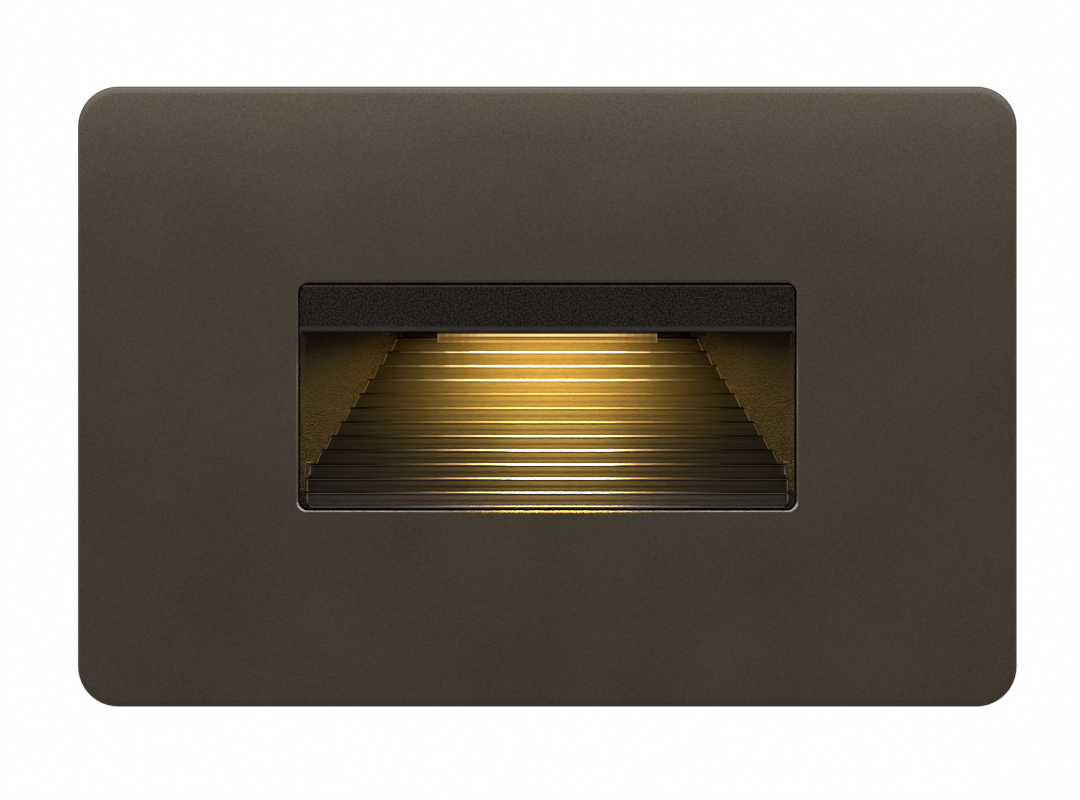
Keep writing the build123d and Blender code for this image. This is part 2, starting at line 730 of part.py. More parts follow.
def make_ribbed_reflector():
    # One zigzag of treads and leaning risers, closed by a flat back
    points = [(first_nose_y, reflector_bottom_z)]
    for rib in range(rib_count):
        nose_y, nose_z = ramp_point(rib, 0)
        points.append((nose_y, nose_z))
        points.append((nose_y + rib_tread, nose_z))
    last_y, last_z = points[-1]
    riser_lean = (rib_run - rib_tread) / rib_pitch
    points.append((last_y + (reflector_top_z - last_z) * riser_lean, reflector_top_z))
    points.append((ramp_y(reflector_top_z, reflector_back_depth), reflector_top_z))
    points.append((ramp_y(reflector_bottom_z, reflector_back_depth), reflector_bottom_z))
    ramp = side_prism(points, reflector_half_width)
    # The first nose, over the lip, is rounded less than the rest
    for ribs, radius in ((range(1, rib_count), rib_nose_radius), (range(1), first_nose_radius)):
        noses = ramp.edges().filter_by(Axis.X).filter_by(
            lambda edge: any(
                abs(edge.center().Y - ramp_point(rib, 0)[0]) < 0.01
                and abs(edge.center().Z - ramp_point(rib, 0)[1]) < 0.01
                for rib in ribs
            )
        )
        ramp = fillet(noses, radius)

    # Ends: nearly straight up to the step rib, then along the leaning side walls
    back_y = ramp_y(reflector_top_z, reflector_back_depth) + cut_past
    front_y = first_nose_y - cut_past
    step_y, step_z = ramp_point(reflector_step_rib, 0)
    splay_gap_across = reflector_splay_gap / cos(radians(splay_angle))
    meet_y = splay_start_y + (reflector_end_gap - splay_gap_across) / splay_rate
    right_side = [
        (reflector_half_width, front_y),
        (reflector_half_width, meet_y),
        (splay_half_width(back_y, -splay_gap_across), back_y),
    ]
    left_side = [(-x, y) for x, y in reversed(right_side)]
    plan = plan_prism(right_side + left_side, reflector_bottom_z, reflector_top_z)
    step_right = [(reflector_half_width, front_y), (reflector_half_width - reflector_step_taper, step_y)]
    step_left = [(-x, y) for x, y in reversed(step_right)]
    plan += plan_prism(step_right + step_left, reflector_bottom_z, step_z)
    ramp &= plan

    # Rounded lower corners, and bosses on the back
    outline = RectangleRounded(
        2 * reflector_half_width, 2 * (reflector_top_z - reflector_bottom_z), reflector_corner_radius
    )
    frame = Plane(origin=(0, back_y, reflector_top_z), x_dir=(1, 0, 0), z_dir=(0, -1, 0))
    ramp &= extrude(frame * outline, amount=back_y - front_y, dir=(0, -1, 0))
    for side in both:
        x = side * reflector_screw_offset
        start = (x, *ramp_point(reflector_screw_rib, reflector_back_depth - reflector_screw_bite))
        end = (x, *ramp_point(reflector_screw_rib, reflector_back_depth + reflector_boss_height))
        ramp += rod(reflector_boss_radius, start, end)
        past = (x, *ramp_point(reflector_screw_rib, reflector_back_depth + reflector_boss_height + cut_past))
        ramp -= rod(m2_radius + thread_gap, start, past)
    return ramp


def make_reflector_screws():
    angle = radians(ramp_angle)
    thread_way = (0, -sin(angle), cos(angle))
    thread_length = floor_back_depth - reflector_back_depth + reflector_screw_bite - thread_gap
    seat_y, seat_z = ramp_point(reflector_screw_rib, floor_back_depth)
    return [m2_screw((side * reflector_screw_offset, seat_y, seat_z), thread_way, thread_length) for side in both]


# Light engine

def make_lens():
    bar = block(across(lens_width), across(lens_depth, led_y), (lens_bottom_z, lens_seat_z))
    bar = fillet(bar.edges().group_by(Axis.Z)[0], lens_edge_radius)
    flange = block(across(lens_flange_width), across(lens_flange_depth, led_y), (lens_seat_z, lens_top_z))
    return bar + flange


def make_lens_gasket():
    ring = block(across(lens_flange_width), across(lens_flange_depth, led_y), (ceiling_top_z, lens_seat_z))
    hole_width = lens_width + 2 * lens_window_gap
    hole_depth = lens_depth + 2 * lens_window_gap
    return ring - block(
        across(hole_width), across(hole_depth, led_y), (ceiling_top_z - cut_past, lens_seat_z + cut_past)
    )


def board_tile(z_from, z_to):
    # The LED board and its thermal pad have one outline and the same two holes
    board = tile(led_board_width, led_board_depth, led_board_corner_radius, led_y, z_from, z_to)
    for side in both:
        x = side * led_board_screw_offset
        board -= rod(m2_radius + hole_gap, (x, led_y, z_from - cut_past), (x, led_y, z_to + cut_past))
    return board


def make_led_chips():
    first_x = -(chip_count - 1) * chip_pitch / 2
    chips = []
    for number in range(chip_count):
        x = first_x + number * chip_pitch
        chip = block(across(chip_width, x), across(chip_depth, led_y), (chip_bottom_z, led_board_bottom_z))
        chips.append(chip)
    return chips


def make_heat_sink():
    front_y = chamber_front_y + heat_sink_front_gap
    back_y = chamber_back_y + chamber_wall
    sink = block(across(chamber_outer_width), (front_y, back_y), (heat_sink_bottom_z, heat_sink_top_z))
    first_x = -(fin_count - 1) * fin_pitch / 2
    for number in range(fin_count):
        x = first_x + number * fin_pitch
        sink += block(across(fin_thickness, x), (front_y, back_y), (heat_sink_top_z, heat_sink_top_z + fin_height))
    foot_inner = led_board_width / 2 + heat_sink_foot_gap
    foot_y = across(lens_flange_depth - 2 * heat_sink_foot_margin, led_y)
    for side in both:
        foot_x = sorted((side * foot_inner, side * lens_flange_width / 2))
        sink += block(foot_x, foot_y, (lens_top_z, heat_sink_bottom_z))
        x = side * led_board_screw_offset
        sink -= rod(
            m2_radius + thread_gap,
            (x, led_y, heat_sink_bottom_z - cut_past),
            (x, led_y, heat_sink_bottom_z + led_board_screw_bite),
        )
    for x, y in heat_sink_boss_places():
        sink -= rod(m2_radius + hole_gap, (x, y, heat_sink_bottom_z - cut_past), (x, y, heat_sink_top_z + cut_past))
    return sink


def make_led_board_screws():
    thread_length = heat_sink_bottom_z - led_board_bottom_z + led_board_screw_bite - thread_gap
    places = [(side * led_board_screw_offset, led_y, led_board_bottom_z) for side in both]
    return [m2_screw(place, (0, 0, 1), thread_length) for place in places]


def make_heat_sink_screws():
    thread_length = heat_sink_thickness + heat_sink_screw_bite - thread_gap
    return [m2_screw((x, y, heat_sink_top_z), (0, 0, -1), thread_length) for x, y in heat_sink_boss_places()]


# Driver housing

def housing_screw_places():
    return [(side * post_side, level * post_height) for side in both for level in both]


def cover_screw_places():
    return [(side * cover_boss_x, level * cover_boss_height) for side in both for level in both]


def board_screw_places():
    return [(side * board_screw_x, level * board_screw_z) for side in both for level in both]


def make_driver_housing():
    box = slab(housing_width, housing_height, housing_corner_radius, housing_front_y, housing_back_y)
    box -= slab(
        housing_inner_width, housing_inner_height, housing_inner_radius, housing_floor_y, housing_back_y + cut_past
    )
    for x, z in board_screw_places():
        box += rod(board_standoff_radius, (x, housing_floor_y, z), (x, board_front_y, z))
        hole_end_y = board_front_y - board_screw_bite
        box -= rod(m2_radius + thread_gap, (x, board_front_y + cut_past, z), (x, hole_end_y, z))
    for x, z in cover_screw_places():
        box += rod(cover_boss_radius, (x, housing_floor_y, z), (x, housing_back_y, z))
        wall_x = sorted((x, x + (cover_boss_side_inset if x > 0 else -cover_boss_side_inset)))
        box += block(wall_x, (housing_floor_y, housing_back_y), across(2 * cover_boss_radius, z))
        box -= rod(m2_radius + thread_gap, (x, housing_back_y + cut_past, z), (x, housing_back_y - cover_screw_bite, z))
    for x, z in housing_screw_places():
        box -= rod(m25_radius + hole_gap, (x, housing_front_y - cut_past, z), (x, housing_floor_y + cut_past, z))
    box -= rod(
        grommet_radius + grommet_gap,
        (0, housing_front_y - cut_past, lead_pass_z),
        (0, housing_floor_y + cut_past, lead_pass_z),
    )
    return box


def make_driver_housing_screws():
    thread_length = housing_wall + housing_screw_bite - thread_gap
    return [m25_screw((x, housing_floor_y, z), (0, -1, 0), thread_length) for x, z in housing_screw_places()]


def make_lead_grommet():
    grommet = rod(grommet_radius, (0, housing_front_y, lead_pass_z), (0, housing_floor_y, lead_pass_z))
    outer_y = housing_front_y - grommet_flange_thickness
    grommet += rod(grommet_flange_radius, (0, outer_y, lead_pass_z), (0, housing_front_y, lead_pass_z))
    return grommet - rod(
        grommet_bore_radius, (0, outer_y - cut_past, lead_pass_z), (0, housing_floor_y + cut_past, lead_pass_z)
    )


def make_cover_gasket():
    gasket = slab(housing_width, housing_height, housing_corner_radius, housing_back_y, cover_front_y)
    gasket -= slab(
        housing_inner_width, housing_inner_height, housing_inner_radius, housing_back_y - cut_past,
        cover_front_y + cut_past,
    )
    for x, z in cover_screw_places():
        ear_x = sorted((x, (1 if x > 0 else -1) * (housing_inner_width / 2 + housing_wall / 2)))
        gasket += rod(cover_boss_radius, (x, housing_back_y, z), (x, cover_front_y, z))
        gasket += block(ear_x, (housing_back_y, cover_front_y), across(2 * cover_boss_radius, z))
    for x, z in cover_screw_places():
        gasket -= rod(m2_radius + hole_gap, (x, housing_back_y - cut_past, z), (x, cover_front_y + cut_past, z))
    return gasket


def make_rear_cover():
    cover = slab(housing_width, housing_height, housing_corner_radius, cover_front_y, cover_back_y)
    cover = fillet(cover.faces().sort_by(Axis.Y)[-1].edges(), cover_edge_radius)
    for x, z in cover_screw_places():
        cover -= rod(m2_radius + hole_gap, (x, cover_front_y - cut_past, z), (x, cover_back_y + cut_past, z))
    return cover - rod(
        bushing_barrel_radius + bushing_gap,
        (-bushing_offset, cover_front_y - cut_past, 0),
        (-bushing_offset, cover_back_y + cut_past, 0),
    )


def make_cover_screws():
    thread_length = cover_thickness + cover_gasket_thickness + cover_screw_bite - thread_gap
    return [m2_screw((x, cover_back_y, z), (0, -1, 0), thread_length) for x, z in cover_screw_places()]


def make_cable_bushing():
    x = -bushing_offset
    inner_y = cover_front_y - bushing_inner_reach
    outer_y = cover_back_y + bushing_flange_thickness
    bushing = rod(bushing_barrel_radius, (x, inner_y, 0), (x, cover_back_y, 0))
    flange = rod(bushing_flange_radius, (x, cover_back_y, 0), (x, outer_y, 0))
    bushing += fillet(flange.edges().sort_by(Axis.Y)[-1:], head_edge_radius)
    return bushing - rod(bushing_bore_radius, (x, inner_y - cut_past, 0), (x, outer_y + cut_past, 0))


# Driver board

def make_driver_board():
    board = block(across(board_width), (board_front_y, board_back_y), across(board_height))
    for x, z in board_screw_places():
        board -= rod(m2_radius + hole_gap, (x, board_front_y - cut_past, z), (x, board_back_y + cut_past, z))
    return board


def make_driver_board_screws():
    thread_length = board_thickness + board_screw_bite - thread_gap
    return [m2_screw((x, board_back_y, z), (0, -1, 0), thread_length) for x, z in board_screw_places()]


def on_board(x, z, width, height, depth):
    # A box that stands on the back of the driver board
    return block(across(width, x), (board_back_y, board_back_y + depth), across(height, z))


def make_transformer_core():
    # An E core laid on its side: a frame around two windows, with the centre leg between them
    core = on_board(transformer_x, 0, transformer_width, transformer_height, transformer_depth)
    window_x = (transformer_width - 2 * transformer_leg - transformer_center_leg) / 2
    window_z = transformer_height - 2 * transformer_leg
    for side in both:
        x = transformer_x + side * (transformer_center_leg + window_x) / 2
        core -= block(
            across(window_x, x), (board_back_y - cut_past, board_back_y + transformer_depth + cut_past),
            across(window_z),
        )
    return core


def make_transformer_winding():
    # The coil fills both windows around the centre leg and stands proud of the core
    window_z = transformer_height - 2 * transformer_leg - 2 * winding_gap
    outer_x = transformer_width - 2 * transformer_leg - 2 * winding_gap
    coil_y = (board_back_y, board_back_y + transformer_depth + winding_bulge)
    coil = block(across(outer_x, transformer_x), coil_y, across(window_z))
    hole_x = across(transformer_center_leg + 2 * winding_gap, transformer_x)
    core_top_y = board_back_y + transformer_depth + winding_gap
    return coil - block(hole_x, (board_back_y - cut_past, core_top_y), across(window_z + cut_past))


def make_bulk_capacitor():
    foot = (column_x, board_back_y, bulk_capacitor_z)
    top = (column_x, board_back_y + bulk_capacitor_height, bulk_capacitor_z)
    can = rod(bulk_capacitor_radius, foot, top)
    return fillet(can.edges().sort_by(Axis.Y)[-1:], bulk_capacitor_crimp)


def make_film_capacitor():
    box = on_board(
        column_x, film_capacitor_z, film_capacitor_width, film_capacitor_height, film_capacitor_depth
    )
    return fillet(box.edges().filter_by(Axis.Y), head_edge_radius)


def make_fuse():
    y = board_back_y + fuse_cap_radius
    half = fuse_length / 2
    fuse = rod(fuse_radius, (column_x - half, y, fuse_z), (column_x + half, y, fuse_z))
    for side in both:
        inner = (column_x + side * (half - fuse_cap_length), y, fuse_z)
        fuse += rod(fuse_cap_radius, inner, (column_x + side * half, y, fuse_z))
    return fuse


def make_varistor():
    y = board_back_y + varistor_radius
    low = (0, y, film_capacitor_z - varistor_thickness / 2)
    high = (0, y, film_capacitor_z + varistor_thickness / 2)
    disc = rod(varistor_radius, low, high)
    return fillet(disc.edges().filter_by(GeomType.CIRCLE), head_edge_radius)


def make_input_terminal_block():
    body = on_board(terminal_x, 0, terminal_width, terminal_height, terminal_depth)
    top_y = board_back_y + terminal_depth
    for side in both:
        z = side * terminal_height / 4
        body -= rod(terminal_hole_radius, (terminal_x, top_y + cut_past, z), (terminal_x, top_y - terminal_hole_depth, z))
    return body


def make_output_connector():
    middle_z = connector_bottom + connector_height / 2
    return on_board(0, middle_z, connector_width, connector_height, connector_depth)


def make_led_lead(side):
    x = side * lead_spacing / 2
    points = [
        (x, lead_start_y, lead_start_z),
        (x, chamber_back_y + chamber_wall + lead_rise_start, lead_start_z),
        (x, housing_front_y - grommet_flange_thickness - lead_rise_end, lead_pass_z),
        (x, lead_down_y, lead_pass_z),
        (x, lead_down_y, connector_top_z),
    ]
    runs = [(Vector(*b) - Vector(*a)) for a, b in zip(points, points[1:])]
    radii = []
    for before, after in zip(runs, runs[1:]):
        half_turn = radians(before.get_angle(after)) / 2
        shorter = min(before.length, after.length)
        radii.append(0.45 * shorter / tan(half_turn) if half_turn > 0.001 else shorter)
    print("lead radii:", [round(radius, 2) for radius in radii])
    path = FilletPolyline(*points, radius=radii)
    section = Plane(origin=path @ 0, z_dir=path % 0) * Circle(lead_radius)
    return sweep(section, path=path)


# Every node of the light, by the name of its file

pieces = {
    "mounting_strap": make_mounting_strap(),
    "wall_gasket": make_wall_gasket(),
    "box_screws": make_box_screws(),
    "ground_screw": make_ground_screw(),
    "face_plate": make_face_plate(),
    "set_screw_left": make_set_screw(-1),
    "set_screw_right": make_set_screw(1),
    "well_gasket": make_well_gasket(),
    "light_well": make_light_well(),
    "well_screws": make_well_screws(),
    "ribbed_reflector": make_ribbed_reflector(),
    "reflector_screws": make_reflector_screws(),
    "lens": make_lens(),
    "lens_gasket": make_lens_gasket(),
    "led_chips": make_led_chips(),
    "led_board": board_tile(led_board_bottom_z, led_board_top_z),
    "thermal_pad": board_tile(led_board_top_z, heat_sink_bottom_z),
    "heat_sink": make_heat_sink(),
    "led_board_screws": make_led_board_screws(),
    "heat_sink_screws": make_heat_sink_screws(),
    "driver_housing": make_driver_housing(),
    "driver_housing_screws": make_driver_housing_screws(),
    "lead_grommet": make_lead_grommet(),
    "cover_gasket": make_cover_gasket(),
    "rear_cover": make_rear_cover(),
    "cover_screws": make_cover_screws(),
    "cable_bushing": make_cable_bushing(),
    "driver_board": make_driver_board(),
    "driver_board_screws": make_driver_board_screws(),
    "transformer_core": make_transformer_core(),
    "transformer_winding": make_transformer_winding(),
    "bulk_capacitor": make_bulk_capacitor(),
    "film_capacitor": make_film_capacitor(),
    "bridge_rectifier": on_board(rectifier_x, rectifier_z, rectifier_width, rectifier_height, rectifier_depth),
    "switching_chip": on_board(chip_package_x, 0, chip_package_width, chip_package_height, chip_package_depth),
    "fuse": make_fuse(),
    "varistor": make_varistor(),
    "input_terminal_block": make_input_terminal_block(),
    "output_connector": make_output_connector(),
    "led_lead_red": make_led_lead(-1),
    "led_lead_black": make_led_lead(1),
}

os.makedirs("parts", exist_ok=True)
for name, piece in pieces.items():
    solids = [solid for each in piece for solid in each.solids()] if isinstance(piece, list) else piece.solids()
    export_step(Compound(solids), f"parts/{name}.step")
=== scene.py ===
from math import atan2, pi, radians, sqrt

import bpy
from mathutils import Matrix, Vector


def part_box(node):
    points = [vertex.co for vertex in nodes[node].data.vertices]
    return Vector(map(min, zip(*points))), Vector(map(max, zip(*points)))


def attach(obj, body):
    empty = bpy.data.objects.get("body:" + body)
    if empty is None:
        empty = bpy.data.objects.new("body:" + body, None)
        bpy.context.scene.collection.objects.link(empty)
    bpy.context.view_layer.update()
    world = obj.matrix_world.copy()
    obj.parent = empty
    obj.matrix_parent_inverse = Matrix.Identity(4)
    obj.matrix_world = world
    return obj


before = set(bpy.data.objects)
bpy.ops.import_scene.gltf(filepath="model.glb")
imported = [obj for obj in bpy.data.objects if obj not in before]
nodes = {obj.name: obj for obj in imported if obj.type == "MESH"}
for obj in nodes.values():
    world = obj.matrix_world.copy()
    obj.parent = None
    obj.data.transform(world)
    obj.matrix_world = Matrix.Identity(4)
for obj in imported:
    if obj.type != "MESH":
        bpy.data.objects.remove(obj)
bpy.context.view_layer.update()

mm = 0.001
print("frame loaded,", len(nodes), "nodes")


# ways to make a finish

def newFinish(name, colour, rough, metal=0.0):
    finish = bpy.data.materials.new(name)
    finish.use_nodes = True
    shader = finish.node_tree.nodes["Principled BSDF"]
    shader.inputs["Base Color"].default_value = (*colour, 1)
    shader.inputs["Roughness"].default_value = rough
    shader.inputs["Metallic"].default_value = metal
    return finish


def socketOf(finish, name):
    return finish.node_tree.nodes["Principled BSDF"].inputs[name]


def joinUp(finish, output, target):
    finish.node_tree.links.new(output, target)


def grain(finish, size, detail=2.0, stretch=(1, 1, 1), shift=(0, 0, 0)):
    # a noise whose spots are about size millimetres wide, from 0 to 1
    tree = finish.node_tree
    place = tree.nodes.new("ShaderNodeTexCoord")
    mapping = tree.nodes.new("ShaderNodeMapping")
    mapping.inputs["Scale"].default_value = stretch
    mapping.inputs["Location"].default_value = shift
    noise = tree.nodes.new("ShaderNodeTexNoise")
    noise.inputs["Scale"].default_value = 1 / (size * mm)
    noise.inputs["Detail"].default_value = detail
    tree.links.new(place.outputs["Object"], mapping.inputs["Vector"])
    tree.links.new(mapping.outputs["Vector"], noise.inputs["Vector"])
    return noise.outputs["Fac"]


def spread(finish, output, low, high, fromLow=0.3, fromHigh=0.7):
    # the same pattern, running from low to high
    node = finish.node_tree.nodes.new("ShaderNodeMapRange")
    node.inputs["From Min"].default_value = fromLow
    node.inputs["From Max"].default_value = fromHigh
    node.inputs["To Min"].default_value = low
    node.inputs["To Max"].default_value = high
    joinUp(finish, output, node.inputs["Value"])
    return node.outputs["Result"]


def rising(finish, output, low, high):
    # 0 up to one place in millimetres, and 1 from the other on
    return spread(finish, output, 0, 1, low * mm, high * mm)


def falling(finish, output, low, high):
    return spread(finish, output, 1, 0, low * mm, high * mm)


def ramp(finish, output, points):
    # a value that follows straight lines between the given points
    node = finish.node_tree.nodes.new("ShaderNodeValToRGB")
    stops = node.color_ramp.elements
    for count, (place, level) in enumerate(points):
        stop = stops[count] if count < 2 else stops.new(place)
        stop.position = place
        stop.color = (level, level, level, 1)
    joinUp(finish, output, node.inputs["Fac"])
    return node.outputs["Color"]


def workOut(finish, kind, first, second=0):
    # a sum with two values, each of them a number or an output
    node = finish.node_tree.nodes.new("ShaderNodeMath")
    node.operation = kind
    for slot, value in ((0, first), (1, second)):
        if isinstance(value, (int, float)):
            node.inputs[slot].default_value = value
        else:
            joinUp(finish, value, node.inputs[slot])
    return node.outputs["Value"]


def plus(finish, first, second):
    return workOut(finish, "ADD", first, second)


def times(finish, first, *others):
    for other in others:
        first = workOut(finish, "MULTIPLY", first, other)
    return first


def leftOver(finish, value):
    return workOut(finish, "SUBTRACT", 1.0, value)


def mixedGrain(finish, fine, broad, fineShare):
    return plus(finish, times(finish, fine, fineShare), times(finish, broad, 1 - fineShare))


def blendTones(finish, factor, first, second):
    # a colour between two tones, where a tone may itself be a colour output
    node = finish.node_tree.nodes.new("ShaderNodeMix")
    node.data_type = "RGBA"
    joinUp(finish, factor, node.inputs["Factor"])
    for name, tone in (("A", first), ("B", second)):
        socket = [s for s in node.inputs if s.name == name and s.type == "RGBA"][0]
        if isinstance(tone, tuple):
            socket.default_value = (*tone, 1)
        else:
            joinUp(finish, tone, socket)
    return [s for s in node.outputs if s.type == "RGBA"][0]


def raised(finish, output, depth, strength=1.0, under=None):
    # a surface that rises by depth millimetres, on top of another one if given
    bump = finish.node_tree.nodes.new("ShaderNodeBump")
    bump.inputs["Strength"].default_value = strength
    bump.inputs["Distance"].default_value = depth * mm
    joinUp(finish, output, bump.inputs["Height"])
    if under:
        joinUp(finish, under, bump.inputs["Normal"])
    return bump.outputs["Normal"]


def emboss(finish, output, depth, strength, under=None):
    joinUp(finish, raised(finish, output, depth, strength, under), socketOf(finish, "Normal"))


def placeOn(finish):
    # where a point lies on the object, as three outputs
    tree = finish.node_tree
    place = tree.nodes.new("ShaderNodeTexCoord")
    split = tree.nodes.new("ShaderNodeSeparateXYZ")
    joinUp(finish, place.outputs["Object"], split.inputs["Vector"])
    return split.outputs


def between(finish, axis, low, high, soft):
    # 1 where the place along an axis lies between two millimetre values, and 0 elsewhere
    value = placeOn(finish)[axis]
    return times(
        finish, rising(finish, value, low - soft, low), falling(finish, value, high, high + soft)
    )


def zonesOf(finish, look):
    # a zone is an axis, its two ends in millimetres, and how soft those ends are
    return {name: between(finish, *zone) for name, zone in look["zones"].items()}


def dress(finish, *names):
    for name in names:
        nodes[name].data.materials.clear()
        nodes[name].data.materials.append(finish)


grainMix = {"fineShare": 0.6, "even": (0.36, 0.64), "patch": 9, "strength": 0.6}


def madeFinish(name, look):
    # two tones mixed by a fine grain, with roughness and bump from the same grain
    finish = newFinish(name, look["tones"][0], look["rough"][0], look.get("metal", 0.0))
    fine = grain(finish, look["grain"], 3.0, look.get("stretch", (1, 1, 1)))
    broad = grain(finish, look["grain"] * look.get("patch", grainMix["patch"]), 2.0, shift=(3, 7, 5))
    mixed = mixedGrain(finish, fine, broad, grainMix["fineShare"])
    even = spread(finish, mixed, 0, 1, *grainMix["even"])
    joinUp(finish, blendTones(finish, even, *look["tones"]), socketOf(finish, "Base Color"))
    joinUp(finish, spread(finish, mixed, *look["rough"]), socketOf(finish, "Roughness"))
    emboss(finish, fine, look["depth"], look.get("strength", grainMix["strength"]))
    return finish


# face plate: satin bronze powder coat, with the worn rim of the opening

plateLook = {
    "darkTone": (0.0315, 0.0245, 0.0161),
    "lightTone": (0.0513, 0.0400, 0.0258),
    "grain": 0.17,
    "fineEven": (0.38, 0.62),
    "fineShare": 0.7,
    "patch": 15.0,
    "rough": (0.36, 0.44),
    "gloss": 0.10,
    "depth": 0.028,
    "strength": 0.7,
    "sideRim": (0.108, 0.097, 0.082),
    "topRim": (0.105, 0.098, 0.108),
    "lowRimHighlight": (0.215, 0.203, 0.182),
    "lowRimMiddle": (0.10, 0.094, 0.084),
    "lowLineShade": (0.004, 0.003, 0.002),
    "rimRough": 0.32,
    "outlineShade": (0.005, 0.0035, 0.002),
    "outlineRougher": 0.5,
    "zones": {
        "bevelDepth": ("Y", -7.58, -7.33, 0.01),
        "insideAcross": ("X", -30.53, 30.53, 0.03),
        "insideUp": ("Z", -14.02, 14.02, 0.03),
        "lowSide": ("Z", -14.9, -13.0, 1.2),
        "topSide": ("Z", 13.6, 14.9, 0.6),
        "middle": ("X", -11, 11, 9),
        "lowLine": ("Z", -14.14, -14.05, 0.02),
        "lowLineAcross": ("X", -29.2, 29.2, 0.02),
        "outlineDepth": ("Y", -7.12, -6.82, 0.05),
    },
}


def bronzeCoat(look):
    coat = newFinish("bronzeCoat", look["lightTone"], look["rough"][0])
    socketOf(coat, "Specular IOR Level").default_value = look["gloss"]
    zones = zonesOf(coat, look)
    fine = grain(coat, look["grain"], 1.5)
    cloudy = grain(coat, look["patch"], 1.0, shift=(2, 5, 1))
    fineTone = spread(coat, fine, 0, 1, *look["fineEven"])
    tone = mixedGrain(coat, fineTone, spread(coat, cloudy, 0, 1), look["fineShare"])
    painted = blendTones(coat, tone, look["darkTone"], look["lightTone"])
    # the little bevel round the opening is worn, and carries a painted highlight along its lower side
    inside = times(coat, zones["insideAcross"], zones["insideUp"])
    bevel = times(coat, zones["bevelDepth"], inside)
    lowWornLitRim = blendTones(coat, zones["middle"], look["lowRimHighlight"], look["lowRimMiddle"])
    otherWornRim = blendTones(coat, zones["topSide"], look["sideRim"], look["topRim"])
    wornLitRim = blendTones(coat, zones["lowSide"], otherWornRim, lowWornLitRim)
    # painted shade: a dark line along the outer half of the lower bevel
    lowLine = times(coat, zones["lowLine"], zones["bevelDepth"], zones["lowLineAcross"])
    # painted shade: the coat is made dark where the plate's front edge turns away
    outline = times(coat, zones["outlineDepth"], leftOver(coat, inside))
    edged = blendTones(coat, outline, painted, look["outlineShade"])
    edged = blendTones(coat, lowLine, edged, look["lowLineShade"])
    joinUp(coat, blendTones(coat, bevel, edged, wornLitRim), socketOf(coat, "Base Color"))
    joinUp(coat, bevel, socketOf(coat, "Metallic"))
    rough = times(coat, spread(coat, fine, *look["rough"]), leftOver(coat, bevel))
    rough = plus(coat, rough, times(coat, bevel, look["rimRough"]))
    rough = plus(coat, rough, times(coat, outline, look["outlineRougher"]))
    joinUp(coat, rough, socketOf(coat, "Roughness"))
    emboss(coat, fine, look["depth"], look["strength"])
    return coat


dress(bronzeCoat(plateLook), "face_plate")
print("face plate coated")


# light well: black textured coat

wellLook = {
    "darkTone": (0.0015, 0.0009, 0.0006),
    "lightTone": (0.0292, 0.0212, 0.0166),
    "lipHighlight": (0.031, 0.027, 0.0255),
    "topLineHighlight": (0.074, 0.061, 0.058),
    "topLineSpecks": (0.4, 1.0),
    "shoulderPaintedLight": (0.13, 0.10, 0.07),
    "grain": 0.19,
    "stretch": (1, 0.5, 1),
    "specks": (0.44, 0.64),
    "speckShare": 0.88,
    "patch": 9.0,
    "rough": (0.45, 0.80),
    "gloss": 0.05,
    "depth": 0.12,
    "strength": 1.0,
    "zones": {
        "front": ("Y", -7.5, -7.1, 0.05),
        "lip": ("Z", 7.90, 8.25, 0.42),
        "topLine": ("Z", 13.37, 13.49, 0.03),
        "topGap": ("Z", 13.58, 14.08, 0.02),
        "rightWall": ("X", 28.8, 29.7, 0.02),
        "leftWall": ("X", -29.7, -28.8, 0.02),
        "shoulderUp": ("Z", -9.8, -8.0, 0.1),
        "shoulderDepth": ("Y", -3.6, -0.9, 0.1),
    },
}


def blackTexturedCoat(look):
    coat = newFinish("blackTexturedCoat", look["darkTone"], look["rough"][0])
    socketOf(coat, "Specular IOR Level").default_value = look["gloss"]
    zones = zonesOf(coat, look)
    fine = grain(coat, look["grain"], 0.0, look["stretch"])
    cloudy = grain(coat, look["patch"], 1.0, shift=(4, 1, 6))
    specks = spread(coat, fine, 0, 1, *look["specks"])
    tone = mixedGrain(coat, specks, spread(coat, cloudy, 0, 1), look["speckShare"])
    painted = blendTones(coat, tone, look["darkTone"], look["lightTone"])
    # painted highlights on the hood bar's front edges: paler along its lower edge and in a line near its top,
    # under a painted shadow in the gap above
    lip = times(coat, zones["front"], zones["lip"])
    topLine = times(coat, zones["front"], zones["topLine"], spread(coat, fine, *look["topLineSpecks"]))
    litAndShadedEdges = blendTones(coat, lip, painted, look["lipHighlight"])
    litAndShadedEdges = blendTones(coat, topLine, litAndShadedEdges, look["topLineHighlight"])
    litAndShadedEdges = blendTones(coat, zones["topGap"], litAndShadedEdges, look["darkTone"])
    # painted light: the walls are made paler beside the shoulders of the ramp, where they lie in shadow
    shoulder = plus(coat, zones["rightWall"], zones["leftWall"])
    shoulder = times(coat, shoulder, zones["shoulderUp"], zones["shoulderDepth"])
    joinUp(coat, blendTones(coat, shoulder, litAndShadedEdges, look["shoulderPaintedLight"]), socketOf(coat, "Base Color"))
    joinUp(coat, spread(coat, specks, *look["rough"], 0, 1), socketOf(coat, "Roughness"))
    emboss(coat, fine, look["depth"], look["strength"])
    return coat


dress(blackTexturedCoat(wellLook), "light_well")
